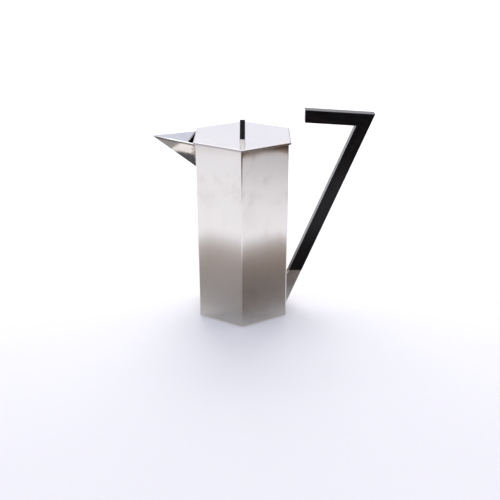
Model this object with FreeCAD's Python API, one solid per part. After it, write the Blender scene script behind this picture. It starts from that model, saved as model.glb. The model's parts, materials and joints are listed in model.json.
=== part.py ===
import FreeCAD, Part
import math
import os

# Six-sided silver coffee pot with an open beak, a lift-off lid and a black
# handle shaped like a seven.  Millimetres.  The origin is the middle of the
# base, on the table.  +Z is up, +X points to the handle, -X to the spout.

V = FreeCAD.Vector

# ---- driving dimensions -------------------------------------------------
body_af = 90.0          # body, across flats
body_h = 186.0          # height of the rim
wall = 1.0              # sheet thickness of body and spout
fold_r = 1.6            # outside radius of the folds of the body
base_t = 1.5            # base plate thickness

spout_reach = 45.2      # tip, out from the body's left flat
spout_rise = 1.45       # tip, above the rim
spout_drop = 32.4       # keel root, down from the rim
spout_half_w = 25.5     # half width at the root
spout_t = 1.0           # sheet thickness of the spout
keel_r = 0.9            # outside radius of the keel fold
tip_blunt = 0.7         # flat left at the very tip
notch_lip = 1.2         # strip of wall left inside the spout's root

lid_af = 94.6           # lid plate, across flats
lid_t = 2.0
lid_corner_r = 1.0
lid_top_r = 0.8         # rounded upper edge
lid_low_r = 0.35
bezel_gap = 0.35        # free play of the collar in the mouth
bezel_t = 1.0
bezel_h = 6.0
bezel_open = 47.6       # the collar is left out behind the spout, this wide

finial_half = 16.0      # triangular finial, half of its foot
finial_h = 15.4
finial_top = 1.0        # flat left at the apex
finial_t = 5.0
finial_edge = 0.3
screw_y = 6.0           # fixing screws, each side of the middle
screw_r = 1.0
screw_bite = 5.5        # length of screw inside the finial
screw_head_r = 2.0
screw_head_h = 1.3
washer_r = 2.9
washer_t = 0.5

bar_w = 12.45           # handle section, in the plane of the seven
bar_d = 11.2            # handle section, front to back
bar_edge = 0.35         # broken edge of the black bars
stem_lean = 22.01       # stem, degrees from upright
stem_foot_z = 2.05      # outer face of the stem meets the body's flat here
grip_slope = 3.42       # grip falls towards the corner, degrees
grip_end_x = 60.95      # free end of the grip
grip_end_z = 214.25     # top of the free end
socket_top_z = 43.3     # black ends and silver begins, level cut
socket_t = 1.2          # socket wall
tenon_len = 17.0        # stem inside the socket
tenon_gap = 0.05
pin_r = 0.8
pin_gap = 0.03
tongue_t = 3.2          # loose tongue in the mitre
tongue_along = 8.0
tongue_across = 7.5

hf = body_af / 2.0


def hexagon(af, z):
    # corners at the front and back, flats to the left and right
    r = af / math.sqrt(3.0)
    pts = []
    for k in range(6):
        a = math.radians(-90.0 + 60.0 * k)
        pts.append(V(r * math.cos(a), r * math.sin(a), z))
    pts.append(pts[0])
    return Part.Face(Part.makePolygon(pts))


def hex_prism(af, z0, z1):
    return hexagon(af, z0).extrude(V(0, 0, z1 - z0))


def upright_edges(shape):
    out = []
    for e in shape.Edges:
        a = e.Vertexes[0].Point
        b = e.Vertexes[-1].Point
        if abs(a.x - b.x) < 1e-6 and abs(a.y - b.y) < 1e-6:
            out.append(e)
    return out


def plate_xz(pts, y0, y1):
    # a flat outline in the plane of the handle, given thickness along Y
    ring = [V(x, y0, z) for x, z in pts]
    ring.append(ring[0])
    return Part.Face(Part.makePolygon(ring)).extrude(V(0, y1 - y0, 0))


def solid_from(points, faces):
    shells = []
    for f in faces:
        ring = [V(*points[i]) for i in f]
        ring.append(ring[0])
        shells.append(Part.Face(Part.makePolygon(ring)))
    sh = Part.makeShell(shells)
    sh.sewShape()
    s = Part.makeSolid(sh.Shells[0])
    if s.Volume < 0:
        s.reverse()
    return s


def one(shape):
    s = shape.removeSplitter()
    if len(s.Solids) == 1:
        return s.Solids[0]
    return s


# ---- body: folded six-sided tube with a pouring notch -------------------
outer = hex_prism(body_af, 0.0, body_h)
outer = outer.makeFillet(fold_r, upright_edges(outer))
inner = hex_prism(body_af - 2.0 * wall, -1.0, body_h + 1.0)
shell = outer.cut(inner)

v_slope = spout_drop / spout_half_w            # rise of the V per unit of width
lip = notch_lip * math.sqrt(1.0 + v_slope ** 2)  # straight down from the strip
notch_apex_z = body_h - spout_drop + lip
notch_half = (body_h - notch_apex_z) / v_slope
top = body_h + 2.0
top_half = (top - notch_apex_z) / v_slope
ring = [V(-hf - 2.0, 0.0, notch_apex_z), V(-hf - 2.0, top_half, top), V(-hf - 2.0, -top_half, top)]
ring.append(ring[0])
notch = Part.Face(Part.makePolygon(ring)).extrude(V(5.0, 0, 0))
body_shell = one(shell.cut(notch))

# ---- base plate, level with the lower edge of the tube ------------------
base_plate = hex_prism(body_af - 2.0 * wall, 0.0, base_t)

# ---- spout: two triangular walls folded along the keel ------------------
keel_rate = (spout_drop + spout_rise) / spout_reach   # rise of the keel per unit of reach


def long_beak(shift):
    # the V-shaped trough, moved by shift along X and carried on past the rim
    # and past the root so that its ends can be trimmed clean
    past = 6.0
    up = 4.0
    low = body_h - spout_drop - keel_rate * (past - shift)
    w = (body_h + up - low) / v_slope
    tip = (-hf + shift - (spout_drop + up) / keel_rate, 0.0, body_h + up)
    return solid_from([tip, (-hf + past, -w, body_h + up), (-hf + past, w, body_h + up),
                       (-hf + past, 0.0, low)],
                      [(0, 1, 3), (0, 3, 2), (0, 2, 1), (1, 2, 3)])


tv = V(-hf - spout_reach, 0, body_h + spout_rise)
av, kv = V(-hf, -spout_half_w, body_h), V(-hf, 0, body_h - spout_drop)
n_wall = (av - tv).cross(kv - tv)
n_wall.normalize()
# moving the trough towards the body by this much leaves walls of the sheet's thickness
spout = long_beak(0.0).cut(long_beak(spout_t / abs(n_wall.x)))
tip_x = -hf - spout_reach + tip_blunt
tip_z = body_h + spout_rise * (1.0 - tip_blunt / spout_reach)
# the rim stays level under the lid's overhang, then climbs to the tip
level_x = -lid_af / 2.0 - 0.6
spout = spout.common(plate_xz([(-hf, body_h - 80.0), (-hf, body_h), (level_x, body_h), (tip_x, tip_z),
                               (tip_x, body_h - 80.0)], -60.0, 60.0))
spout = one(spout)
keel = [e for e in spout.Edges if all(abs(v.Point.y) < 1e-6 for v in e.Vertexes)]
spout = spout.makeFillet(keel_r, [max(keel, key=lambda e: e.Length)])
spout = one(spout)

# ---- lid ----------------------------------------------------------------
lz0 = body_h
lz1 = body_h + lid_t
lid = hex_prism(lid_af, lz0, lz1)
lid = lid.makeFillet(lid_corner_r, upright_edges(lid))
for level, radius in ((lz1, lid_top_r), (lz0, lid_low_r)):
    rim_edges = []
    for e in lid.Edges:
        b = e.BoundBox
        if b.ZLength < 1e-6 and abs(b.ZMin - level) < 1e-6:
            rim_edges.append(e)
    lid = lid.makeFillet(radius, rim_edges)
for sy in (-1, 1):
    lid = lid.cut(Part.makeCylinder(screw_r + 0.15, 20, V(0, sy * screw_y, lz0 - 10), V(0, 0, 1)))
lid_plate = one(lid)

bezel_af = body_af - 2.0 * wall - 2.0 * bezel_gap
lid_bezel = hex_prism(bezel_af, lz0 - bezel_h, lz0).cut(
    hex_prism(bezel_af - 2.0 * bezel_t, lz0 - bezel_h - 1, lz0 + 1))
lid_bezel = lid_bezel.cut(Part.makeBox(20, bezel_open, 20, V(-hf - 10.0, -bezel_open / 2.0, lz0 - bezel_h - 1)))
lid_bezel = one(lid_bezel)

# ---- finial: triangular plate standing across the lid -------------------
ring = [V(-finial_t / 2.0, -finial_half, lz1), V(-finial_t / 2.0, finial_half, lz1),
        V(-finial_t / 2.0, finial_top / 2.0, lz1 + finial_h), V(-finial_t / 2.0, -finial_top / 2.0, lz1 + finial_h)]
ring.append(ring[0])
plate = Part.Face(Part.makePolygon(ring)).extrude(V(finial_t, 0, 0))
free_edges = [e for e in plate.Edges if not all(abs(v.Point.z - lz1) < 1e-6 for v in e.Vertexes)]
plate = plate.makeChamfer(finial_edge, free_edges)
for sy in (-1, 1):
    plate = plate.cut(Part.makeCylinder(screw_r + 0.05, screw_bite + 0.4, V(0, sy * screw_y, lz1), V(0, 0, 1)))
finial = one(plate)

screws = []
washers = []
for sy in (-1, 1):
    y = sy * screw_y
    wz = lz0 - washer_t
    shank = Part.makeCylinder(screw_r, screw_bite + lid_t + washer_t, V(0, y, wz), V(0, 0, 1))
    head = Part.makeCylinder(screw_head_r, screw_head_h, V(0, y, wz - screw_head_h), V(0, 0, 1))
    low = [e for e in head.Edges if e.Curve.TypeId == "Part::GeomCircle" and abs(e.BoundBox.ZMin - (wz - screw_head_h)) < 1e-6]
    head = head.makeFillet(0.5, low)
    s = head.fuse(shank)
    s = s.cut(Part.makeBox(0.6, 6, 0.6, V(-0.3, y - 3, wz - screw_head_h)))
    screws.append(one(s))
    w = Part.makeCylinder(washer_r, washer_t, V(0, y, wz), V(0, 0, 1))
    w = w.cut(Part.makeCylinder(screw_r + 0.12, 5, V(0, y, wz - 2), V(0, 0, 1)))
    washers.append(one(w))
finial_screws = Part.makeCompound(screws)
finial_washers = Part.makeCompound(washers)

# ---- handle: the seven --------------------------------------------------
ta = math.tan(math.radians(stem_lean))
ca = math.cos(math.radians(stem_lean))
sa = math.sin(math.radians(stem_lean))
tg = math.tan(math.radians(grip_slope))
cg = math.cos(math.radians(grip_slope))


def stem_outer_x(z):
    return hf + (z - stem_foot_z) * ta


def stem_inner_x(z):
    return stem_outer_x(z) - bar_w / ca


def grip_top_z(x):
    return grip_end_z - (x - grip_end_x) * tg


def grip_low_z(x):
    return grip_top_z(x) - bar_w / cg


# where the two outer lines meet, and the two inner lines
xo = (hf + ta * (grip_end_z + grip_end_x * tg - stem_foot_z)) / (1.0 + ta * tg)
zo = grip_top_z(xo)
xi = (hf - bar_w / ca + ta * (grip_end_z - bar_w / cg + grip_end_x * tg - stem_foot_z)) / (1.0 + ta * tg)
zi = grip_low_z(xi)

yn = -bar_d / 2.0
yf = bar_d / 2.0

grip = plate_xz([(grip_end_x, grip_top_z(grip_end_x)), (xo, zo), (xi, zi),
                 (grip_end_x, grip_low_z(grip_end_x))], yn, yf)
stem = plate_xz([(xo, zo), (stem_outer_x(socket_top_z), socket_top_z),
                 (stem_inner_x(socket_top_z), socket_top_z), (xi, zi)], yn, yf)


def broken_edges(shape, keep_mitre, keep_level):
    # break every outer edge except those that lie on the mitre or on the
    # level cut at the socket, where two pieces meet
    mx, mz = xi - xo, zi - zo
    ml = math.hypot(mx, mz)
    out = []
    for e in shape.Edges:
        on_mitre = True
        on_level = True
        for v in e.Vertexes:
            d = abs((v.Point.x - xo) * mz - (v.Point.z - zo) * mx) / ml
            if d > 1e-4:
                on_mitre = False
            if abs(v.Point.z - socket_top_z) > 1e-4:
                on_level = False
        if (keep_mitre and on_mitre) or (keep_level and on_level):
            continue
        out.append(e)
    return out


grip = grip.makeChamfer(bar_edge, broken_edges(grip, True, False))
stem = stem.makeChamfer(bar_edge, broken_edges(stem, True, True))

# loose tongue across the mitre
mx, mz = xo - xi, zo - zi
ml = math.hypot(mx, mz)
ux, uz = mx / ml, mz / ml
px, pz = -uz, ux
cx, cz = (xo + xi) / 2.0 - 1.2 * ux, (zo + zi) / 2.0 - 1.2 * uz
a2, b2 = tongue_along / 2.0, tongue_across / 2.0
tongue_pts = [(cx + a2 * ux + b2 * px, cz + a2 * uz + b2 * pz),
              (cx + a2 * ux - b2 * px, cz + a2 * uz - b2 * pz),
              (cx - a2 * ux - b2 * px, cz - a2 * uz - b2 * pz),
              (cx - a2 * ux + b2 * px, cz - a2 * uz + b2 * pz)]
handle_tongue = plate_xz(tongue_pts, -tongue_t / 2.0, tongue_t / 2.0)
grip = grip.cut(handle_tongue)
stem = stem.cut(handle_tongue)

# tenon of the stem, cut off short of the body's flat
half_t = bar_w / 2.0 - socket_t - tenon_gap
ax = (stem_outer_x(socket_top_z) + stem_inner_x(socket_top_z)) / 2.0
az = socket_top_z


def along(px0, pz0, s, w):
    # point at s down the stem and w across it (positive outwards)
    return (px0 - s * sa + w * ca, pz0 - s * ca - w * sa)


tenon = plate_xz([along(ax, az, -8.0, half_t), along(ax, az, tenon_len, half_t),
                  along(ax, az, tenon_len, -half_t), along(ax, az, -8.0, -half_t)],
                 yn + socket_t + tenon_gap, yf - socket_t - tenon_gap)
tenon = tenon.cut(Part.makeBox(60, 60, 60, V(hf + socket_t + 0.4 - 60, -30, 0)))
tenon = tenon.cut(Part.makeBox(80, 60, 60, V(20, -30, socket_top_z)))
stem = stem.fuse(tenon)

# ---- socket: the same section in silver, mitred on to the flat ----------
socket = plate_xz([(stem_inner_x(socket_top_z), socket_top_z),
                   (stem_outer_x(socket_top_z), socket_top_z),
                   (hf, stem_foot_z),
                   (hf, stem_foot_z + bar_w / ca / ta)], yn, yf)
s_edges = []
for e in socket.Edges:
    flat = all(abs(v.Point.x - hf) < 1e-4 for v in e.Vertexes)
    level = all(abs(v.Point.z - socket_top_z) < 1e-4 for v in e.Vertexes)
    if not flat and not level:
        s_edges.append(e)
socket = socket.makeChamfer(bar_edge, s_edges)
half_s = bar_w / 2.0 - socket_t
bore = plate_xz([along(ax, az, -8.0, half_s), along(ax, az, tenon_len + 0.6, half_s),
                 along(ax, az, tenon_len + 0.6, -half_s), along(ax, az, -8.0, -half_s)],
                yn + socket_t, yf - socket_t)
bore = bore.cut(Part.makeBox(60, 60, 60, V(hf + socket_t - 60, -30, 0)))
socket = socket.cut(bore)

# ---- cross pins ---------------------------------------------------------
pins = []
for s in (5.0, 9.4):
    qx, qz = along(ax, az, s, 2.0)
    pin = Part.makeCylinder(pin_r, bar_d, V(qx, yn, qz), V(0, 1, 0))
    pins.append(pin)
    hole = Part.makeCylinder(pin_r + pin_gap, bar_d + 4, V(qx, yn - 2, qz), V(0, 1, 0))
    socket = socket.cut(hole)
    stem = stem.cut(hole)
socket_pins = Part.makeCompound(pins)

handle_grip = one(grip)
handle_stem = one(stem)
handle_socket = one(socket)

# ---- write --------------------------------------------------------------
nodes = {
    "body_shell": body_shell,
    "base_plate": base_plate,
    "spout": spout,
    "lid_plate": lid_plate,
    "lid_bezel": lid_bezel,
    "finial": finial,
    "finial_screws": finial_screws,
    "finial_washers": finial_washers,
    "handle_grip": handle_grip,
    "handle_stem": handle_stem,
    "handle_tongue": handle_tongue,
    "handle_socket": handle_socket,
    "socket_pins": socket_pins,
}

os.makedirs("parts", exist_ok=True)
for name, shape in nodes.items():
    print(name, "solids", len(shape.Solids), "valid", shape.isValid(), "volume", round(shape.Volume, 2),
          "box", [round(c, 2) for c in (shape.BoundBox.XMin, shape.BoundBox.XMax, shape.BoundBox.YMin,
                                         shape.BoundBox.YMax, shape.BoundBox.ZMin, shape.BoundBox.ZMax)])
    shape.exportStep("parts/" + name + ".step")
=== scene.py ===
import json
import math

import bpy
import bmesh
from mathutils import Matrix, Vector

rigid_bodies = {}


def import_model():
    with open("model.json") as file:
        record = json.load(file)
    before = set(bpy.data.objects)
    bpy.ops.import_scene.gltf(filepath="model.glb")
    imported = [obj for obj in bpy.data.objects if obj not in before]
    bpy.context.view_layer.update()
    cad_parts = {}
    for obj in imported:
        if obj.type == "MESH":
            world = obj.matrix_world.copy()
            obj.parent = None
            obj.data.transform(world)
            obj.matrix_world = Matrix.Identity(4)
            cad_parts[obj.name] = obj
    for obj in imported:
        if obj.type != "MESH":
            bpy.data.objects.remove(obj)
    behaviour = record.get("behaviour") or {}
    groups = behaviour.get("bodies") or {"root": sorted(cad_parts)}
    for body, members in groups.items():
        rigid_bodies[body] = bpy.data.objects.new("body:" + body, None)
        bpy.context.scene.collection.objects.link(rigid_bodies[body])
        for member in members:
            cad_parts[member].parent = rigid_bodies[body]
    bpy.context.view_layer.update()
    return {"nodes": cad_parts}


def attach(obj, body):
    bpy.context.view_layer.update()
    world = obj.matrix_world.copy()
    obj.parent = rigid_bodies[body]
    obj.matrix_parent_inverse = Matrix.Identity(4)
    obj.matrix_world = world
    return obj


# an empty scene before the frame comes in
for _o in list(bpy.data.objects):
    bpy.data.objects.remove(_o, do_unlink=True)

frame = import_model()

scene = bpy.context.scene
scene.view_settings.view_transform = "Standard"
scene.view_settings.look = "None"
scene.view_settings.exposure = 0.0
scene.view_settings.gamma = 1.0

MM = 0.001

# ------------------------------------------------------------------ numbers
# repeated from the CAD source, in millimetres
BODY_AF = 90.0
BODY_H = 186.0
WALL = 1.0
BASE_T = 1.5
SPOUT_REACH = 45.2
SPOUT_RISE = 1.45
SPOUT_DROP = 32.4
SPOUT_HALF_W = 25.5
LID_AF = 94.6
LID_T = 2.0
BEZEL_H = 6.0
BEZEL_T = 1.0
BEZEL_GAP = 0.35
BEZEL_OPEN = 45.0
BAR_W = 12.45
BAR_D = 11.2
STEM_LEAN = math.radians(22.01)
STEM_FOOT_Z = 2.05
GRIP_SLOPE = math.radians(3.42)
HF = BODY_AF / 2.0


# ------------------------------------------------------------- node helpers
class Nodes:
    """Small helper for building one material's node tree."""

    def __init__(self, name):
        self.mat = bpy.data.materials.new(name)
        self.mat.use_nodes = True
        self.tree = self.mat.node_tree
        self.tree.nodes.clear()
        self.out = self.tree.nodes.new("ShaderNodeOutputMaterial")
        self.bsdf = self.tree.nodes.new("ShaderNodeBsdfPrincipled")
        self.link(self.bsdf.outputs["BSDF"], self.out.inputs["Surface"])
        self.coord = self.tree.nodes.new("ShaderNodeTexCoord")

    def link(self, a, b):
        self.tree.links.new(a, b)

    def put(self, sock, value):
        if hasattr(value, "is_output"):
            self.link(value, sock)
        else:
            sock.default_value = value

    @property
    def obj(self):
        return self.coord.outputs["Object"]

    @property
    def nor(self):
        return self.coord.outputs["Normal"]

    def math(self, op, a, b=0.0, c=0.0, clamp=False):
        n = self.tree.nodes.new("ShaderNodeMath")
        n.operation = op
        n.use_clamp = clamp
        self.put(n.inputs[0], a)
        self.put(n.inputs[1], b)
        self.put(n.inputs[2], c)
        return n.outputs[0]

    def mapping(self, vec, scale=(1, 1, 1), rot=(0, 0, 0), loc=(0, 0, 0)):
        n = self.tree.nodes.new("ShaderNodeMapping")
        self.link(vec, n.inputs["Vector"])
        n.inputs["Scale"].default_value = scale
        n.inputs["Rotation"].default_value = rot
        n.inputs["Location"].default_value = loc
        return n.outputs["Vector"]

    def noise(self, vec, scale, detail=3.0, rough=0.55, distort=0.0):
        n = self.tree.nodes.new("ShaderNodeTexNoise")
        n.noise_dimensions = "3D"
        self.link(vec, n.inputs["Vector"])
        n.inputs["Scale"].default_value = scale
        n.inputs["Detail"].default_value = detail
        n.inputs["Roughness"].default_value = rough
        n.inputs["Distortion"].default_value = distort
        return n.outputs["Fac"]

    def voronoi(self, vec, scale, feature="F1"):
        n = self.tree.nodes.new("ShaderNodeTexVoronoi")
        n.feature = feature
        self.link(vec, n.inputs["Vector"])
        n.inputs["Scale"].default_value = scale
        return n.outputs["Distance"]

    def span(self, val, lo, hi, to_lo=0.0, to_hi=1.0, smooth=True):
        n = self.tree.nodes.new("ShaderNodeMapRange")
        n.interpolation_type = "SMOOTHSTEP" if smooth else "LINEAR"
        n.clamp = True
        self.put(n.inputs["Value"], val)
        n.inputs["From Min"].default_value = lo
        n.inputs["From Max"].default_value = hi
        n.inputs["To Min"].default_value = to_lo
        n.inputs["To Max"].default_value = to_hi
        return n.outputs["Result"]

    def split(self, vec):
        n = self.tree.nodes.new("ShaderNodeSeparateXYZ")
        self.link(vec, n.inputs[0])
        return n.outputs[0], n.outputs[1], n.outputs[2]

    def join(self, x, y, z):
        n = self.tree.nodes.new("ShaderNodeCombineXYZ")
        self.put(n.inputs[0], x)
        self.put(n.inputs[1], y)
        self.put(n.inputs[2], z)
        return n.outputs[0]

    def mix(self, fac, a, b, kind="MIX"):
        n = self.tree.nodes.new("ShaderNodeMix")
        n.data_type = "RGBA"
        n.blend_type = kind
        self.put(n.inputs["Factor"], fac)
        sa = [s for s in n.inputs if s.name == "A" and s.type == "RGBA"][0]
        sb = [s for s in n.inputs if s.name == "B" and s.type == "RGBA"][0]
        for sock, val in ((sa, a), (sb, b)):
            if hasattr(val, "is_output"):
                self.link(val, sock)
            else:
                sock.default_value = (val[0], val[1], val[2], 1.0)
        return [s for s in n.outputs if s.type == "RGBA"][0]

    def bump(self, height, distance, strength=1.0, normal=None):
        n = self.tree.nodes.new("ShaderNodeBump")
        n.inputs["Strength"].default_value = strength
        n.inputs["Distance"].default_value = distance
        self.link(height, n.inputs["Height"])
        if normal is not None:
            self.link(normal, n.inputs["Normal"])
        return n.outputs["Normal"]

    def add(self, *vals):
        out = vals[0]
        for v in vals[1:]:
            out = self.math("ADD", out, v)
        return out

    def mul(self, *vals):
        out = vals[0]
        for v in vals[1:]:
            out = self.math("MULTIPLY", out, v)
        return out


# -------------------------------------------------------------- the silvers
def silver_sheet(name, clean=(0.915, 0.890, 0.836), dull=(0.60, 0.50, 0.40),
                 base_rough=0.034, rim_z=None, foot_z=None, hollow=False,
                 beak=False, heat=False, wave=0.00026, seed=0.0):
    """Hand-finished silver sheet: mirror polish with hairlines drawn up and down,
    soft hand marks, warm tarnish in the sheltered places, painted shade under the lid."""
    k = Nodes(name)
    p = k.mapping(k.obj, loc=(seed, seed * 0.7, seed * 1.3))
    x, y, z = k.split(k.obj)

    # hairlines, stretched along Z
    fine = k.mapping(p, scale=(1.0, 1.0, 0.035))
    lines_a = k.noise(fine, 1900.0, 2.0, 0.6)
    lines_b = k.noise(k.mapping(p, scale=(1.0, 1.0, 0.02), rot=(0.05, 0.03, 0.0)), 760.0, 2.0, 0.5)
    lines = k.add(k.mul(lines_a, 0.55), k.mul(lines_b, 0.45))
    scratch = k.span(lines_b, 0.66, 0.76)

    # hand marks and cloudy patches
    cloud = k.noise(p, 26.0, 4.0, 0.62, 0.6)
    marks = k.noise(k.mapping(p, scale=(1.0, 1.0, 0.45)), 60.0, 3.0, 0.55, 0.6)
    mark_mask = k.mul(k.span(cloud, 0.47, 0.64), k.span(marks, 0.44, 0.62))
    streak = k.noise(k.mapping(p, scale=(1.0, 1.0, 0.10)), 120.0, 3.0, 0.6, 0.3)
    streak_mask = k.span(streak, 0.54, 0.78)

    # small pits
    pits = k.span(k.voronoi(p, 420.0), 0.0, 0.10, 1.0, 0.0)
    pit_sel = k.span(k.noise(p, 140.0, 1.0), 0.60, 0.66)
    pits = k.mul(pits, pit_sel)

    tarnish_and_shade = k.add(k.mul(mark_mask, 0.22), k.mul(streak_mask, 0.07), k.mul(k.span(cloud, 0.45, 0.75), 0.05))
    if rim_z is not None:
        # a band of patina under the lid, with painted shade making it about twice as strong on the handle side
        wob = k.mul(k.math("SUBTRACT", k.noise(p, 42.0, 3.0), 0.5), 0.006)
        zz = k.math("ADD", z, wob)
        rim = k.span(zz, rim_z - 0.011, rim_z + 0.001)
        upright = k.span(k.math("ABSOLUTE", k.split(k.nor)[2]), 0.45, 0.25)
        tarnish_and_shade = k.add(tarnish_and_shade, k.mul(rim, upright, k.span(x, -0.004, 0.012, 0.20, 0.42)))
    if foot_z is not None:
        wob2 = k.mul(k.math("SUBTRACT", k.noise(p, 60.0, 3.0), 0.5), 0.004)
        foot = k.span(k.math("ADD", z, wob2), foot_z + 0.006, foot_z - 0.001)
        tarnish_and_shade = k.add(tarnish_and_shade, k.mul(foot, 0.35))
    tarnish_and_shade = k.math("MINIMUM", tarnish_and_shade, 0.85)

    col = k.mix(tarnish_and_shade, clean, dull)
    if rim_z is not None:
        # painted shade: darkest close under the lid, on the side of the handle
        brink = k.mul(k.span(zz, rim_z - 0.0062, rim_z - 0.0012), upright, k.span(x, 0.004, 0.040, 0.0, 0.60))
        col = k.mix(brink, col, (0.20, 0.155, 0.12))
    col = k.mix(k.mul(k.math("SUBTRACT", lines, 0.35), 0.18), col, (0.78, 0.77, 0.755))
    rough = k.add(base_rough,
                  k.mul(lines, 0.022),
                  k.mul(mark_mask, 0.06),
                  k.mul(scratch, 0.04),
                  k.mul(tarnish_and_shade, 0.09))

    if beak:
        # outside, a dark line just under the rim, and brown along the root
        # where the solder was run in
        nx, ny, nz = k.split(k.nor)
        under = k.span(nz, 0.12, -0.08)
        past = k.math("MAXIMUM", k.math("SUBTRACT", k.mul(x, -1.0), 0.0479), 0.0)
        climb = k.mul(past, SPOUT_RISE / (HF + SPOUT_REACH - 47.9))
        below = k.math("SUBTRACT", k.math("ADD", climb, BODY_H * MM), z)
        fray = k.mul(k.math("SUBTRACT", k.noise(p, 190.0, 3.0), 0.5), 0.0010)
        line = k.mul(under, k.span(k.math("ADD", below, fray), 0.0035, 0.0019))
        # painted highlight: the cut edge is painted lighter and made rougher, less so towards the tip
        bright = k.math("MAXIMUM", k.span(nz, 0.75, 0.95), k.mul(under, k.span(below, 0.0011, 0.0007)))
        bright = k.mul(bright, k.span(x, -0.082, -0.070, 0.15, 1.0))
        root = k.mul(under, k.span(k.math("ADD", x, k.mul(fray, 2.0)), -0.0492, -0.0462))
        # painted shade: the downward faces outside are darker and warmer, in blotches
        under_shade_blotch = k.span(k.noise(p, 130.0, 4.0, 0.6, 0.8), 0.36, 0.66, 0.55, 0.95)
        col = k.mix(k.mul(under, under_shade_blotch), col, (0.80, 0.735, 0.63))
        col = k.mix(k.mul(line, 0.92), col, (0.15, 0.13, 0.12))
        col = k.mix(k.mul(root, 0.50), col, (0.30, 0.25, 0.21))
        burnt = k.mul(under, k.span(k.math("ADD", x, k.mul(fray, 3.0)), -0.0522, -0.0478),
                      k.span(k.noise(p, 290.0, 4.0, 0.65, 1.2), 0.45, 0.60))
        col = k.mix(k.mul(burnt, 0.70), col, (0.20, 0.165, 0.145))
        col = k.mix(bright, col, (0.97, 0.965, 0.96))
        # painted reflection: faces turned upward are tinted cool, like the sky above
        col = k.mix(k.span(nz, -0.08, 0.12, 0.0, 0.5), col, (0.86, 0.885, 0.92))
        rough = k.add(rough, k.mul(line, 0.10), k.mul(root, 0.07), k.mul(bright, 0.42))

    if heat:
        # brown from the torch, strongest at the joint with the body
        creep = k.mul(k.math("SUBTRACT", k.noise(p, 150.0, 4.0, 0.6, 0.5), 0.5), 0.007)
        scorch = k.span(k.math("ADD", x, creep), 0.0585, 0.0475)
        mottle = k.span(k.noise(p, 230.0, 4.0, 0.62, 1.4), 0.44, 0.60)
        col = k.mix(k.mul(scorch, 0.22), col, (0.30, 0.245, 0.205))
        col = k.mix(k.mul(mottle, k.add(k.mul(scorch, 0.22), 0.10)), col, (0.17, 0.13, 0.105))
        rough = k.add(rough, k.mul(scorch, 0.06), k.mul(mottle, 0.05))

    if hollow:
        # the inside of the tube was never buffed, and coffee has stained it
        nx, ny, nz = k.split(k.nor)
        inward = k.math("ADD", k.mul(nx, x), k.mul(ny, y))
        inside = k.span(inward, -0.030, -0.040)
        tide = k.noise(k.mapping(p, scale=(1.0, 1.0, 3.0)), 30.0, 4.0, 0.6, 0.4)
        level = k.span(k.math("ADD", z, k.mul(k.math("SUBTRACT", tide, 0.5), 0.016)), 0.150, 0.128)
        stain = k.mul(inside, k.add(k.mul(level, 0.36), k.mul(tide, 0.14)))
        col = k.mix(k.mul(inside, 0.35), col, (0.80, 0.785, 0.76))
        col = k.mix(stain, col, (0.42, 0.30, 0.20))
        rough = k.add(rough, k.mul(inside, k.add(0.24, k.mul(tide, 0.12))))
        # the edges of the pouring notch are filed, not polished, and painted lighter as a highlight
        filed_highlight = k.mul(k.span(x, -0.0435, -0.0439), k.span(nz, 0.08, 0.30), k.span(z, 0.1848, 0.1838))
        # and so is the strip of wall round it, inside the root of the beak
        vee = k.math("SUBTRACT", z, k.mul(k.math("ABSOLUTE", y), SPOUT_DROP / SPOUT_HALF_W))
        foot_v = (BODY_H - SPOUT_DROP) * MM
        strip = k.mul(k.span(x, -0.0446, -0.0449), k.span(nx, -0.7, -0.9), k.span(vee, foot_v, foot_v + 0.0003))
        filed_highlight = k.math("MAXIMUM", filed_highlight, strip)
        col = k.mix(filed_highlight, col, (0.955, 0.945, 0.93))
        rough = k.add(rough, k.mul(filed_highlight, 0.50))

    k.put(k.bsdf.inputs["Base Color"], col)
    k.bsdf.inputs["Metallic"].default_value = 1.0
    k.put(k.bsdf.inputs["Roughness"], k.math("MINIMUM", rough, 0.7))

    # slow planishing waves left in the sheet, then the hairlines and pits
    waves = k.noise(k.mapping(p, scale=(1.0, 1.0, 0.7)), 17.0, 1.5, 0.4)
    n1 = k.bump(waves, wave)
    n2 = k.bump(k.add(k.mul(lines, 0.5), k.mul(pits, -0.9)), 0.000004, 0.6, n1)
    k.link(n2, k.bsdf.inputs["Normal"])
    return k.mat


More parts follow.
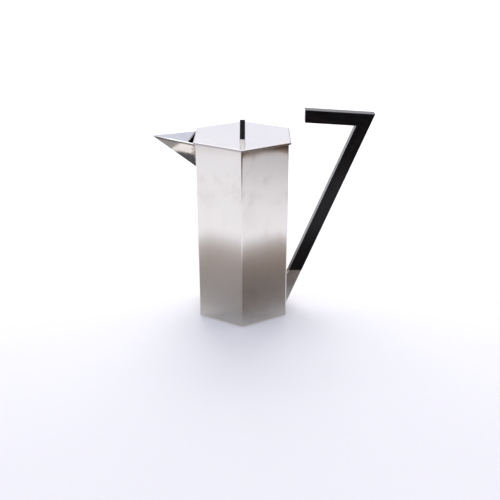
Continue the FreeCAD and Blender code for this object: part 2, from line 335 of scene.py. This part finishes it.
def silver_satin(name, clean=(0.752, 0.746, 0.760), grain_axis="X", base_rough=0.11):
    """Satin silver, rubbed straight with fine abrasive."""
    k = Nodes(name)
    p = k.obj
    scale = (0.03, 1.0, 1.0) if grain_axis == "X" else (1.0, 0.03, 1.0)
    grain = k.noise(k.mapping(p, scale=scale), 1500.0, 2.5, 0.6)
    coarse = k.noise(k.mapping(p, scale=scale, rot=(0, 0, 0.04)), 520.0, 2.0, 0.5)
    cloud = k.noise(p, 34.0, 4.0, 0.6, 0.5)
    smear = k.noise(k.mapping(p, scale=(0.5, 1.0, 1.0), rot=(0, 0, 0.6)), 80.0, 4.0, 0.6, 1.0)
    x, y, z = k.split(p)

    # darker round the knob's two feet
    def spot(cx, cy, r):
        dx = k.math("SUBTRACT", x, cx)
        dy = k.math("SUBTRACT", y, cy)
        d = k.math("SQRT", k.add(k.mul(dx, dx), k.mul(dy, dy)))
        return k.span(d, r, r * 0.25)
    feet = k.math("MAXIMUM", spot(0.0, -0.0155, 0.0062), spot(0.0, 0.0155, 0.0062))
    feet = k.mul(feet, k.span(k.noise(p, 210.0, 3.0), 0.35, 0.65))

    # painted shade: a brown line along the edge, heavier towards the handle side
    ax = k.math("ABSOLUTE", x)
    slant = k.add(k.mul(k.math("ABSOLUTE", y), 0.8660254), k.mul(ax, 0.5))
    reach = k.math("MAXIMUM", ax, slant)
    edge = k.span(k.math("ADD", reach, k.mul(k.math("SUBTRACT", smear, 0.5), 0.0008)), 0.0456, 0.0470)

    col = k.mix(k.mul(k.span(cloud, 0.42, 0.70), 0.10), clean, (0.62, 0.605, 0.605))
    col = k.mix(k.mul(k.span(smear, 0.52, 0.75), 0.14), col, (0.86, 0.855, 0.87))
    col = k.mix(k.mul(feet, 0.20), col, (0.35, 0.33, 0.36))
    col = k.mix(k.mul(edge, k.span(x, -0.010, 0.042, 0.38, 0.96)), col, (0.32, 0.25, 0.20))
    col = k.mix(k.mul(grain, 0.08), col, (0.60, 0.60, 0.62))
    k.put(k.bsdf.inputs["Base Color"], col)
    k.bsdf.inputs["Metallic"].default_value = 1.0
    rough = k.add(base_rough, k.mul(grain, 0.06), k.mul(k.span(cloud, 0.4, 0.7), 0.05), k.mul(edge, -0.06))
    k.put(k.bsdf.inputs["Roughness"], rough)
    n1 = k.bump(k.noise(p, 15.0, 1.0), 0.00018)
    n2 = k.bump(k.add(k.mul(grain, 0.6), k.mul(coarse, 0.4)), 0.000006, 0.7, n1)
    k.link(n2, k.bsdf.inputs["Normal"])
    return k.mat


def silver_raw(name, tone=(0.74, 0.72, 0.69), stain=0.0):
    """Unbuffed silver as it comes from pickling: whitish, scuffed, rough."""
    k = Nodes(name)
    p = k.obj
    cloud = k.noise(p, 55.0, 5.0, 0.65, 0.8)
    scuff_a = k.noise(k.mapping(p, scale=(0.05, 1.0, 1.0), rot=(0, 0, 0.5)), 900.0, 2.0)
    scuff_b = k.noise(k.mapping(p, scale=(1.0, 0.05, 1.0), rot=(0, 0, -0.3)), 700.0, 2.0)
    scuff = k.math("MAXIMUM", k.span(scuff_a, 0.6, 0.75), k.span(scuff_b, 0.62, 0.76))
    col = k.mix(k.mul(k.span(cloud, 0.35, 0.70), 0.35), tone, (0.52, 0.47, 0.41))
    col = k.mix(k.mul(scuff, 0.35), col, (0.88, 0.87, 0.85))
    if stain > 0.0:
        ring = k.noise(k.mapping(p, scale=(1, 1, 2.0)), 38.0, 4.0, 0.6, 0.6)
        col = k.mix(k.mul(k.span(ring, 0.35, 0.75), stain), col, (0.30, 0.20, 0.13))
    k.put(k.bsdf.inputs["Base Color"], col)
    k.bsdf.inputs["Metallic"].default_value = 1.0
    k.put(k.bsdf.inputs["Roughness"], k.add(0.30, k.mul(cloud, 0.14), k.mul(scuff, -0.08)))
    n1 = k.bump(k.add(k.mul(cloud, 0.6), k.mul(scuff, -0.4)), 0.00002, 0.6)
    k.link(n1, k.bsdf.inputs["Normal"])
    return k.mat


def silver_solder(name):
    """Solder runs: a little greyer and softer than the sheet, with ripples."""
    k = Nodes(name)
    p = k.obj
    flow = k.noise(p, 320.0, 3.0, 0.5, 0.8)
    cloud = k.noise(p, 70.0, 3.0, 0.6)
    col = k.mix(k.span(cloud, 0.35, 0.70), (0.80, 0.78, 0.75), (0.50, 0.43, 0.36))
    flux = k.span(k.noise(p, 230.0, 4.0, 0.65, 1.0), 0.48, 0.62)
    col = k.mix(k.mul(flux, 0.60), col, (0.21, 0.175, 0.15))
    k.put(k.bsdf.inputs["Base Color"], col)
    k.bsdf.inputs["Metallic"].default_value = 1.0
    k.put(k.bsdf.inputs["Roughness"], k.add(0.16, k.mul(flow, 0.14)))
    k.link(k.bump(flow, 0.00006, 0.7), k.bsdf.inputs["Normal"])
    return k.mat


def silver_turned(name):
    """Turned pins, screws and washers: fine rings and a few scuffs."""
    k = Nodes(name)
    p = k.obj
    rings = k.noise(k.mapping(p, scale=(1.0, 1.0, 6.0)), 900.0, 2.0)
    cloud = k.noise(p, 260.0, 3.0, 0.6)
    col = k.mix(k.span(cloud, 0.40, 0.72), (0.84, 0.83, 0.81), (0.58, 0.51, 0.44))
    k.put(k.bsdf.inputs["Base Color"], col)
    k.bsdf.inputs["Metallic"].default_value = 1.0
    k.put(k.bsdf.inputs["Roughness"], k.add(0.10, k.mul(rings, 0.10), k.mul(cloud, 0.06)))
    k.link(k.bump(rings, 0.00001, 0.5), k.bsdf.inputs["Normal"])
    return k.mat


def ebony(name, lean=0.0, seed=0.0, gloss=0.27, sheen=0.22):
    """Oiled black wood: close grain along the bar, polished, with the faint
    brown of the pores and light rubbing."""
    k = Nodes(name)
    # lean turns the grain from X into the bar's own direction, in the XZ plane
    p = k.mapping(k.obj, rot=(0.0, lean, 0.0), loc=(seed, seed * 0.4, seed * 0.9))
    grain = k.noise(k.mapping(p, scale=(0.05, 1.0, 1.0)), 1300.0, 3.0, 0.6, 0.2)
    figure = k.noise(k.mapping(p, scale=(0.08, 1.0, 1.0)), 210.0, 4.0, 0.6, 0.8)
    pores = k.span(k.noise(k.mapping(p, scale=(0.04, 1.0, 1.0)), 2300.0, 1.0), 0.66, 0.74)
    rub = k.noise(p, 75.0, 4.0, 0.65, 0.8)
    hair = k.span(k.noise(k.mapping(p, scale=(0.6, 0.03, 1.0), rot=(0.2, 0.4, 0.3)), 640.0, 1.0), 0.70, 0.76)
    col = k.mix(k.span(figure, 0.46, 0.74), (0.0035, 0.0032, 0.0036), (0.0105, 0.0078, 0.0064))
    col = k.mix(k.mul(pores, 0.5), col, (0.0015, 0.0013, 0.0012))
    col = k.mix(k.mul(hair, 0.20), col, (0.030, 0.028, 0.027))
    k.put(k.bsdf.inputs["Base Color"], col)
    k.bsdf.inputs["Metallic"].default_value = 0.0
    k.bsdf.inputs["IOR"].default_value = 1.5
    k.bsdf.inputs["Specular IOR Level"].default_value = gloss
    k.bsdf.inputs["Sheen Weight"].default_value = sheen
    k.bsdf.inputs["Sheen Roughness"].default_value = 0.30
    k.bsdf.inputs["Sheen Tint"].default_value = (0.9, 0.9, 0.95, 1.0)
    k.put(k.bsdf.inputs["Roughness"],
          k.add(0.13, k.mul(k.span(rub, 0.40, 0.70), 0.10), k.mul(grain, 0.06), k.mul(pores, 0.08)))
    h = k.add(k.mul(grain, 0.25), k.mul(pores, -0.7), k.mul(hair, -0.3))
    n1 = k.bump(k.noise(p, 60.0, 1.0), 0.00006)
    k.link(k.bump(h, 0.000010, 0.6, n1), k.bsdf.inputs["Normal"])
    return k.mat


M_BODY = silver_sheet("silver_body", rim_z=BODY_H * MM, foot_z=0.0, hollow=True)
M_SPOUT = silver_sheet("silver_spout", base_rough=0.034, beak=True, wave=0.00018, seed=0.37)
M_SOCKET = silver_sheet("silver_socket", base_rough=0.036, heat=True, wave=0.00016, seed=0.81)
M_LID = silver_satin("silver_lid_satin")
M_RAW_BASE = silver_raw("silver_base", stain=0.35)
M_RAW_BEZEL = silver_raw("silver_bezel", tone=(0.78, 0.77, 0.75), stain=0.12)
M_SOLDER = silver_solder("silver_solder")
M_FIX = silver_turned("silver_fixings")
M_GRIP = ebony("ebony_grip", lean=-GRIP_SLOPE, seed=0.13)
M_STEM = ebony("ebony_stem", lean=(math.pi / 2.0 - STEM_LEAN), seed=0.29)
M_TONGUE = ebony("ebony_tongue", lean=0.6, seed=0.53)
M_FINIAL = ebony("ebony_finial", lean=math.pi / 2.0, seed=0.71, gloss=0.20, sheen=0.06)

NODE_MATERIAL = {
    "body_shell": M_BODY,
    "base_plate": M_RAW_BASE,
    "spout": M_SPOUT,
    "lid_plate": M_LID,
    "lid_bezel": M_RAW_BEZEL,
    "finial": M_FINIAL,
    "finial_screws": M_FIX,
    "finial_washers": M_FIX,
    "handle_grip": M_GRIP,
    "handle_stem": M_STEM,
    "handle_tongue": M_TONGUE,
    "handle_socket": M_SOCKET,
    "socket_pins": M_FIX,
}
for _name, _mat in NODE_MATERIAL.items():
    _obj = frame["nodes"][_name]
    if len(_obj.material_slots) == 0:
        _obj.data.materials.append(_mat)
    for _slot in _obj.material_slots:
        _slot.material = _mat


# ------------------------------------------- crisp but not razor-sharp edges
def soften(node, width_mm, segments=2, angle=28.0):
    obj = frame["nodes"][node]
    weld = obj.modifiers.new("join_faces", "WELD")
    weld.merge_threshold = 0.000002
    bev = obj.modifiers.new("broken_edges", "BEVEL")
    bev.width = width_mm * MM
    bev.segments = segments
    bev.limit_method = "ANGLE"
    bev.angle_limit = math.radians(angle)
    bev.use_clamp_overlap = True
    bev.harden_normals = False
    wn = obj.modifiers.new("face_normals", "WEIGHTED_NORMAL")
    wn.keep_sharp = False
    wn.weight = 100


# --------------------------------------------------------- solder and seams
def fillet_run(name, path, wall_a, wall_b, leg, body, closed=False, rows=5):
    """A concave run of solder along path (mm).  wall_a and wall_b give, for
    each point, the two directions lying in the joined surfaces."""
    bm = bmesh.new()
    rings = []
    n = len(path)
    for i, q in enumerate(path):
        a = Vector(wall_a[i])
        b = Vector(wall_b[i])
        # uneven flow of the solder, the same every run
        w = leg * (1.0 + 0.10 * math.sin(i * 1.7) + 0.06 * math.sin(i * 3.1 + 0.6))
        ring = []
        for j in range(rows):
            t = j / (rows - 1)
            # quarter-round hollow between the two legs
            ca = w * (1.0 - math.sin(t * math.pi / 2.0))
            cb = w * (1.0 - math.cos(t * math.pi / 2.0))
            off = a * ca + b * cb
            ring.append(bm.verts.new((Vector(q) + off) * MM))
        ring.append(bm.verts.new(Vector(q) * MM))
        rings.append(ring)
    m = len(rings[0])
    last = n if closed else n - 1
    for i in range(last):
        r0 = rings[i]
        r1 = rings[(i + 1) % n]
        for j in range(m):
            j2 = (j + 1) % m
            bm.faces.new((r0[j], r1[j], r1[j2], r0[j2]))
    if not closed:
        bm.faces.new(list(reversed(rings[0])))
        bm.faces.new(rings[-1])
    bmesh.ops.recalc_face_normals(bm, faces=bm.faces)
    me = bpy.data.meshes.new(name)
    bm.to_mesh(me)
    bm.free()
    for poly in me.polygons:
        poly.use_smooth = True
    obj = bpy.data.objects.new(name, me)
    scene.collection.objects.link(obj)
    obj.data.materials.append(M_SOLDER)
    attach(obj, body)
    return obj


def lerp(a, b, t):
    return tuple(a[i] + (b[i] - a[i]) * t for i in range(3))


def run_points(corners, step):
    pts = []
    for a, b in zip(corners[:-1], corners[1:]):
        length = (Vector(b) - Vector(a)).length
        k = max(1, int(round(length / step)))
        for i in range(k):
            pts.append(lerp(a, b, i / k))
    pts.append(tuple(corners[-1]))
    return pts


# outside of the beak, along the V where it meets the body's left flat
_root_l = (-HF, -SPOUT_HALF_W, BODY_H)
_root_k = (-HF, 0.0, BODY_H - SPOUT_DROP)
_root_r = (-HF, SPOUT_HALF_W, BODY_H)
_tip = (-HF - SPOUT_REACH, 0.0, BODY_H + SPOUT_RISE)


def beak_run(name, corner, side):
    # the wall of the beak on this side holds corner, keel root and tip
    along = (Vector(_root_k) - Vector(corner)).normalized()
    inwall = (Vector(_tip) - Vector(corner))
    inwall = (inwall - along * inwall.dot(along)).normalized()
    outflat = Vector((0.0, along.z, -along.y))
    if outflat.dot(Vector((0.0, side, -0.5))) < 0.0:
        outflat = -outflat
    start = lerp(corner, _root_k, 0.03)
    end = lerp(corner, _root_k, 0.985)
    pts = run_points([start, end], 1.6)
    return fillet_run(name, pts, [inwall] * len(pts), [outflat] * len(pts), 0.85, "pot")


beak_run("spout_solder_near", _root_l, -1.0)
beak_run("spout_solder_far", _root_r, 1.0)

# round the foot of the socket, on the body's right flat
_hd = BAR_D / 2.0
_z_out = STEM_FOOT_Z
_z_in = STEM_FOOT_Z + BAR_W / math.sin(STEM_LEAN)


def socket_side(name, y, side):
    pts = run_points([(HF, y, _z_out + 0.6), (HF, y, _z_in - 0.6)], 1.5)
    a = Vector((1.0, 0.0, 0.0))
    b = Vector((0.0, side, 0.0))
    return fillet_run(name, pts, [a] * len(pts), [b] * len(pts), 0.75, "pot")


socket_side("socket_solder_near", -_hd, -1.0)
socket_side("socket_solder_far", _hd, 1.0)
_lean_dir = Vector((math.sin(STEM_LEAN), 0.0, math.cos(STEM_LEAN)))
_pts = run_points([(HF, -_hd + 0.4, _z_in), (HF, _hd - 0.4, _z_in)], 1.5)
fillet_run("socket_solder_top", _pts, [_lean_dir] * len(_pts), [Vector((0, 0, 1))] * len(_pts), 1.1, "pot")


# inside: base seam all round, and the closing seam up one corner
def hex_ring(af, z):
    r = af / math.sqrt(3.0)
    cs = []
    for i in range(6):
        ang = math.radians(-90.0 + 60.0 * i)
        cs.append((r * math.cos(ang), r * math.sin(ang), z))
    return cs


def hex_seam(name, af, z, up, leg, body, step=2.2):
    cs = hex_ring(af, z)
    pts, wa, wb = [], [], []
    for i in range(6):
        a, b = cs[i], cs[(i + 1) % 6]
        k = max(2, int(round((Vector(b) - Vector(a)).length / step)))
        for j in range(k):
            q = lerp(a, b, j / k)
            pts.append(q)
            mid = (Vector(a) + Vector(b)) * 0.5
            nrm = Vector((mid.x, mid.y, 0.0)).normalized()
            if j == 0:
                cn = Vector((a[0], a[1], 0.0)).normalized() / math.cos(math.radians(30.0))
                nrm = cn
            wa.append(Vector((0.0, 0.0, up)))
            wb.append(-nrm)
    return fillet_run(name, pts, wa, wb, leg, body, closed=True)


hex_seam("base_seam", BODY_AF - 2.0 * WALL, BASE_T, 1.0, 1.1, "pot")
_bez_af = BODY_AF - 2.0 * WALL - 2.0 * BEZEL_GAP - 2.0 * BEZEL_T


def open_seam(name, af, half_gap, z, up, leg, body, step=2.2):
    """As hex_seam, but left out over half_gap each side on the spout's flat."""
    r = af / math.sqrt(3.0)
    x0 = -af / 2.0
    cs = [(x0, -half_gap, z)]
    for i in (-150.0, -90.0, -30.0, 30.0, 90.0, 150.0):
        cs.append((r * math.cos(math.radians(i)), r * math.sin(math.radians(i)), z))
    cs.append((x0, half_gap, z))
    pts, wa, wb = [], [], []
    for i in range(len(cs) - 1):
        a, b = Vector(cs[i]), Vector(cs[i + 1])
        k = max(1, int(round((b - a).length / step)))
        d = (b - a).normalized()
        inward = Vector((-d.y, d.x, 0.0))
        for j in range(k + (1 if i == len(cs) - 2 else 0)):
            q = a + (b - a) * (j / k)
            w = inward
            if j == 0 and i > 0:
                w = -Vector((a.x, a.y, 0.0)).normalized() / math.cos(math.radians(30.0))
            pts.append(tuple(q))
            wa.append(Vector((0.0, 0.0, up)))
            wb.append(w)
    return fillet_run(name, pts, wa, wb, leg, body)


open_seam("bezel_seam", _bez_af, BEZEL_OPEN / 2.0 + 0.3, BODY_H, -1.0, 0.8, "lid")

_ci = (BODY_AF - 2.0 * WALL) / math.sqrt(3.0)
_seam = run_points([(0.0, _ci, BASE_T + 1.0), (0.0, _ci, BODY_H - BEZEL_H - 3.0)], 2.4)
_sa = Vector((math.cos(math.radians(-30.0)), math.sin(math.radians(-30.0)), 0.0))
_sb = Vector((-_sa.x, _sa.y, 0.0))
fillet_run("closing_seam", _seam, [_sa] * len(_seam), [_sb] * len(_seam), 1.5, "pot")


# --------------------------------------------------------------- the studio
def pale_floor():
    k = Nodes("pale_floor")
    p = k.obj
    fine = k.noise(p, 260.0, 3.0)
    slow = k.noise(p, 2.2, 2.0)
    x, y, z = k.split(p)
    # painted shade: the floor is darker towards the front
    col = k.mix(k.span(y, 0.25, -0.35), (0.93, 0.925, 0.93), (0.80, 0.795, 0.81))
    col = k.mix(k.mul(slow, 0.2), col, (0.86, 0.855, 0.87))
    k.put(k.bsdf.inputs["Base Color"], col)
    k.put(k.bsdf.inputs["Roughness"], k.add(0.32, k.mul(fine, 0.06)))
    k.bsdf.inputs["Specular IOR Level"].default_value = 0.0
    return k.mat


def make_plane(name, x0, x1, y0, y1, z, mat):
    bm = bmesh.new()
    vs = [bm.verts.new(c) for c in ((x0, y0, z), (x1, y0, z), (x1, y1, z), (x0, y1, z))]
    bm.faces.new(vs)
    me = bpy.data.meshes.new(name)
    bm.to_mesh(me)
    bm.free()
    obj = bpy.data.objects.new(name, me)
    scene.collection.objects.link(obj)
    obj.data.materials.append(mat)
    return obj


make_plane("stage_floor", -6.0, 6.0, -6.0, 6.0, 0.0, pale_floor())


def surround():
    """What the polished metal sees round the pale floor: a dark room beyond
    the table's edge, and darker tones close by.  Only reflections see it."""
    k = Nodes("stage_surround")
    x, y, z = k.split(k.obj)
    ax = k.math("ABSOLUTE", x)
    ay = k.math("ABSOLUTE", y)

    def curve(val, stops):
        n = k.tree.nodes.new("ShaderNodeFloatCurve")
        lo, hi = stops[0][0], stops[-1][0]
        k.link(k.span(val, lo, hi, smooth=False), n.inputs["Value"])
        cur = n.mapping.curves[0]
        while len(cur.points) > 2:
            cur.points.remove(cur.points[-1])
        cur.points[0].location = (0.0, stops[0][1])
        cur.points[1].location = (1.0, stops[-1][1])
        for pos, v in stops[1:-1]:
            cur.points.new((pos - lo) / (hi - lo), v)
        for pt in cur.points:
            pt.handle_type = "AUTO_CLAMPED"
        n.mapping.update()
        return n.outputs["Value"]

    def most(*vals):
        out = vals[0]
        for v in vals[1:]:
            out = k.math("MAXIMUM", out, v)
        return out

    # the room beyond the table
    right = curve(x, RIGHT_STOPS)
    left = curve(k.mul(x, -1.0), LEFT_STOPS)
    front = curve(k.mul(y, -1.0), FRONT_STOPS)
    # on the right it begins in a low arch
    u = k.add(k.mul(x, 0.873), k.mul(ay, 0.488))
    v = k.math("SUBTRACT", k.mul(x, 0.488), k.mul(ay, 0.873))
    dv = k.math("ADD", v, 0.0163)
    bow = k.math("MINIMUM", k.mul(dv, dv, 23.8), 0.060)
    depth = k.math("ADD", u, bow)
    ahead = k.span(y, 0.03, -0.03)
    arch = k.mul(k.span(depth, 0.643, 0.663), ahead)
    brink = k.mul(k.span(k.math("SUBTRACT", k.mul(x, 0.5), k.mul(y, 0.866)), 0.572, 0.583), k.span(x, 0.05, 0.15), 0.95)
    far = most(right, left, front, arch, brink)

    # painted shade seen only in reflections: a soft dark six-sided ring on the
    # floor near the pot, open to the spout and the handle
    rad = k.math("SQRT", k.add(k.mul(x, x), k.mul(y, y)))
    six = most(ax, k.add(k.mul(ax, 0.5), k.mul(ay, 0.866)))
    turned = k.span(k.math("DIVIDE", ay, k.math("MAXIMUM", rad, 0.01)), 0.22, 0.48)
    side = k.span(x, -0.03, 0.03, NEAR_L, NEAR_R)
    near = k.mul(curve(six, NEAR_STOPS), turned, side)

    # painted dark reflections under the beak, kept clear of what the slanted faces look at
    behind = k.span(y, 0.0, 0.02)
    beyond = k.math("SUBTRACT", k.math("ADD", ay, k.mul(k.math("ADD", x, 0.1305), 0.170)), 0.0489)
    behind = k.mul(behind, k.span(beyond, 0.020, 0.002))
    clear_of = k.math("SUBTRACT", ay, k.math("ADD", k.mul(k.math("SUBTRACT", ax, 0.045), 0.479), 0.026))
    keel = k.math("SUBTRACT", ay, k.math("SUBTRACT", 0.0422, k.mul(k.math("ADD", x, 0.1504), 0.561)))
    beak = k.mul(k.span(keel, -0.0014, 0.0014), k.span(x, -0.186, -0.162), k.span(x, -0.110, -0.130),
                 k.span(clear_of, 0.000, -0.010), k.span(ay, 0.0315, 0.0400), behind, 0.97)
    tipward = k.math("SUBTRACT", k.mul(k.math("SUBTRACT", 0.0564, ay), 0.463), k.math("ADD", x, 0.1777))
    tip = k.mul(k.span(tipward, -0.0020, 0.0020), k.span(ay, 0.032, 0.040), k.span(clear_of, -0.002, -0.010),
                k.span(x, -0.240, -0.200), behind, 0.72)

    spot = most(beak, tip)
    close = most(near, spot)
    alpha = k.math("MAXIMUM", far, close)

    k.bsdf.inputs["Roughness"].default_value = 0.9
    k.bsdf.inputs["Specular IOR Level"].default_value = 0.0
    brown = k.mix(k.span(rad, 0.10, 0.22), (0.100, 0.076, 0.060), (0.135, 0.085, 0.052))
    brown = k.mix(k.span(k.math("SUBTRACT", spot, near), -0.05, 0.05), brown, (0.052, 0.056, 0.066))
    edge = k.mix(k.span(depth, 0.662, 0.692), (0.190, 0.108, 0.052), (0.054, 0.038, 0.026))
    room = k.mix(k.span(arch, 0.1, 0.5), (0.085, 0.052, 0.032), edge)
    room = k.mix(k.span(brink, 0.2, 0.7), room, (0.060, 0.045, 0.034))
    tone = k.mix(k.span(k.math("SUBTRACT", close, far), -0.05, 0.05), room, brown)
    k.put(k.bsdf.inputs["Base Color"], tone)
    clear = k.tree.nodes.new("ShaderNodeBsdfTransparent")
    mixer = k.tree.nodes.new("ShaderNodeMixShader")
    k.link(alpha, mixer.inputs["Fac"])
    k.link(clear.outputs[0], mixer.inputs[1])
    k.link(k.bsdf.outputs[0], mixer.inputs[2])
    k.link(mixer.outputs[0], k.out.inputs["Surface"])
    return k.mat


# distance from the pot (m) and how much of the dark room shows there
RIGHT_STOPS = [(0.10, 0.05), (0.20, 0.08), (0.30, 0.11), (0.355, 0.17), (0.43, 0.27), (0.466, 0.33), (0.534, 0.42), (0.56, 0.47), (0.62, 0.60), (0.74, 0.95)]
LEFT_STOPS = [(0.30, 0.00), (0.45, 0.02), (0.53, 0.05), (0.57, 0.08), (0.61, 0.12), (0.66, 0.30), (0.78, 0.95)]
FRONT_STOPS = [(0.34, 0.00), (0.40, 0.05), (0.45, 0.36), (0.50, 0.80), (0.56, 0.97), (0.66, 1.00)]
# the same for the ring close by
NEAR_STOPS = [(0.045, 0.42), (0.060, 0.64), (0.085, 0.82), (0.120, 0.89), (0.160, 0.86), (0.190, 0.76), (0.215, 0.56), (0.238, 0.26), (0.258, 0.08), (0.280, 0.01), (0.295, 0.00)]
NEAR_L = 0.85
NEAR_R = 1.00


def reflection_only(obj):
    obj.visible_camera = False
    obj.visible_diffuse = False
    obj.visible_shadow = False
    obj.visible_transmission = False
    obj.visible_volume_scatter = False


reflection_only(make_plane("stage_surround", -2.5, 2.5, -2.5, 2.5, 0.0015, surround()))

# a light tent: bright behind, bluish and a little darker in front and above
world = bpy.data.worlds.new("studio")
scene.world = world
world.use_nodes = True
_wt = world.node_tree
_bg = _wt.nodes["Background"]
_tc = _wt.nodes.new("ShaderNodeTexCoord")
_sx = _wt.nodes.new("ShaderNodeSeparateXYZ")
_wt.links.new(_tc.outputs["Generated"], _sx.inputs[0])
_mr = _wt.nodes.new("ShaderNodeMapRange")
_mr.interpolation_type = "SMOOTHSTEP"
_mr.inputs["From Min"].default_value = 0.35
_mr.inputs["From Max"].default_value = -0.35
_wt.links.new(_sx.outputs["Y"], _mr.inputs["Value"])
_mx = _wt.nodes.new("ShaderNodeMix")
_mx.data_type = "RGBA"
_wt.links.new(_mr.outputs["Result"], _mx.inputs["Factor"])
_ca = [q for q in _mx.inputs if q.type == "RGBA"]
_ca[0].default_value = (1.00, 0.985, 1.05, 1.0)
_ca[1].default_value = (0.70, 0.73, 0.85, 1.0)
_wt.links.new([q for q in _mx.outputs if q.type == "RGBA"][0], _bg.inputs["Color"])
_bg.inputs["Strength"].default_value = 1.0


def area(name, loc, target, size, power, col=(1, 1, 1)):
    li = bpy.data.lights.new(name, "AREA")
    li.shape = "SQUARE"
    li.size = size
    li.energy = power
    li.color = col
    ob = bpy.data.objects.new(name, li)
    ob.location = loc
    d = Vector(target) - Vector(loc)
    ob.rotation_euler = d.to_track_quat("-Z", "Y").to_euler()
    scene.collection.objects.link(ob)
    return ob


# the lid would mirror the overhead light straight into a view from above
_over = area("overhead", (0.0, 0.58, 1.70), (0, -0.02, 0.15), 0.90, 6.2, (1.0, 0.975, 0.93))
_less = bpy.data.collections.new("not_the_lid")
_less.objects.link(frame["nodes"]["lid_plate"])
_less.collection_objects[0].light_linking.link_state = "EXCLUDE"
_over.light_linking.receiver_collection = _less
# a small one that only the knob takes
_knob = area("knob_light", (0.0, 0.53, 1.70), (0, -0.01, 0.195), 0.46, 8.0, (1.0, 0.975, 0.93))
_only = bpy.data.collections.new("knob_only")
_only.objects.link(frame["nodes"]["finial"])
_knob.light_linking.receiver_collection = _only
area("behind", (0.0, 2.2, 1.9), (0, 1.6, 0.0), 2.0, 26.0, (1.0, 0.98, 0.96))

# --------------------------------------------------------------- the camera
cam = bpy.data.cameras.new("camera")
cam.sensor_fit = "HORIZONTAL"
cam.sensor_width = 36.0
cam.lens = 57.6
cam.clip_start = 0.01
cam.clip_end = 50.0
cam.dof.use_dof = False
cam_ob = bpy.data.objects.new("camera", cam)
cam_ob.location = (0.01236, -0.77063, 0.40026)
cam_ob.rotation_euler = (math.radians(66.42), 0.0, 0.0065)
scene.collection.objects.link(cam_ob)
scene.camera = cam_ob

for _n, _w in (("body_shell", 0.14), ("spout", 0.14), ("lid_bezel", 0.12), ("base_plate", 0.15)):
    soften(_n, _w)

bpy.context.view_layer.update()
